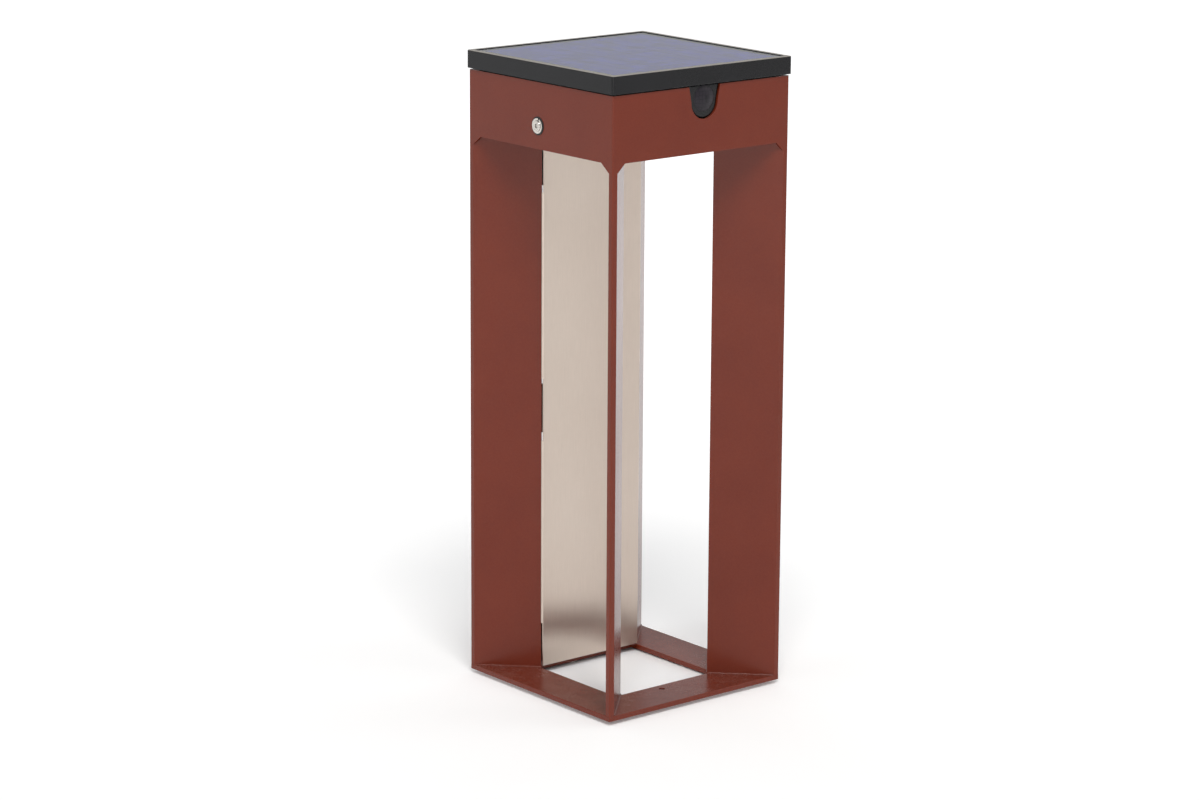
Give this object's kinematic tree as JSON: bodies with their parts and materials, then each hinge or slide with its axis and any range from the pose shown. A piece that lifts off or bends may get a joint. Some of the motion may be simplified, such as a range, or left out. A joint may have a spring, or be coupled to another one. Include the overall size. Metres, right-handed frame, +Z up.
{
  "type": "solar garden light",
  "caption": "Square solar lantern: lift-out solar light module in a collar over diagonal fins, with a motion sensor, a steel reflector and a lock screw.",
  "frame": {"origin": "middle of the white bottom plate's underside", "axes": "+Z up, -Y the front with the motion sensor, +Y towards the wall"},
  "size_m": [0.1452, 0.145, 0.4101],
  "materials": {
    "powder_coat": "matte fine textured rust brown powder coat on aluminium plate",
    "white_paint": "satin white",
    "stainless": "satin brushed",
    "zinc_steel": "zinc plated",
    "black_steel": "black",
    "nickel": "nickel plated",
    "black_plastic": "fine matt",
    "lens_plastic": "satin",
    "opal_plastic": "opal",
    "button_plastic": "matt grey",
    "nylon": "natural nylon",
    "glass": "clear tempered",
    "cells": "dark blue silicon",
    "backsheet": "black",
    "foam": "foam tape",
    "rubber": "matt black",
    "circuit_board": "green solder mask",
    "white_board": "white solder mask on aluminium",
    "led": "phosphor",
    "component": "moulded",
    "battery_wrap": "shrink wrap",
    "wire_red": "insulation",
    "wire_white": "insulation"
  },
  "bodies": {
    "frame": {"bottom_plate": "white_paint", "plate_spacers": "nylon", "plate_screws": "zinc_steel", "base_plate": "powder_coat", "fin_front_left": "powder_coat", "fin_front_right": "powder_coat", "fin_back_left": "powder_coat", "fin_back_right": "powder_coat", "collar": "powder_coat", "rest_pads": "rubber", "steel_reflector": "stainless", "reflector_studs": "stainless", "reflector_clips": "black_steel", "clip_rivets": "zinc_steel", "stud_nuts": "zinc_steel", "lock_nut": "zinc_steel"},
    "lock_seal": {"lock_seal": "rubber", "lock_washer": "stainless"},
    "lock_screw": {"lock_screw": "stainless"},
    "solar_module": {"lid_frame": "black_plastic", "panel_glass": "glass", "solar_cells": "cells", "panel_backsheet": "backsheet", "panel_adhesive": "foam", "module_housing": "black_plastic", "housing_gasket": "rubber", "housing_screws": "zinc_steel", "sensor_bezel": "black_plastic", "sensor_lens": "lens_plastic", "pir_sensor": "zinc_steel", "sensor_board": "circuit_board", "diffuser_lens": "opal_plastic", "diffuser_seal": "rubber", "led_board": "white_board", "leds": "led", "main_board": "circuit_board", "board_screws": "zinc_steel", "board_components": "component", "tact_switch": "component", "charge_port": "zinc_steel", "port_board": "circuit_board", "battery_cells": "battery_wrap", "battery_holder": "black_plastic", "battery_contacts": "nickel", "battery_leads": "wire_red", "panel_leads": "wire_red", "led_leads": "wire_white", "sensor_leads": "wire_white"},
    "mode_button": {"mode_button": "button_plastic"},
    "port_plug": {"port_plug": "rubber"}
  },
  "joints": [
    {"name": "module_lift", "type": "slide", "parent": "frame", "child": "solar_module", "axis": [0, 0, 1], "range_m": [0, 0.06]},
    {"name": "lock_screw_travel", "type": "slide", "parent": "frame", "child": "lock_seal", "axis": [-1, 0, 0], "range_m": [0, 0.0032]},
    {"name": "lock_screw_turn", "type": "hinge", "parent": "lock_seal", "child": "lock_screw", "pos_m": [-0.0713, 0.0015, 0.3706], "axis": [-1, 0, 0], "range_deg": [0, 1441]},
    {"name": "mode_button_press", "type": "slide", "parent": "solar_module", "child": "mode_button", "axis": [0, 0, 1], "range_m": [0, 0.001], "stiffness_N_per_m": 400, "springref_m": -0.001},
    {"name": "port_plug_pull", "type": "slide", "parent": "solar_module", "child": "port_plug", "axis": [0, 0, -1], "range_m": [0, 0.006]}
  ],
  "couplings": [
    {"joint": "lock_screw_turn", "follows": "lock_screw_travel", "rad_per_m": 7854}
  ]
}
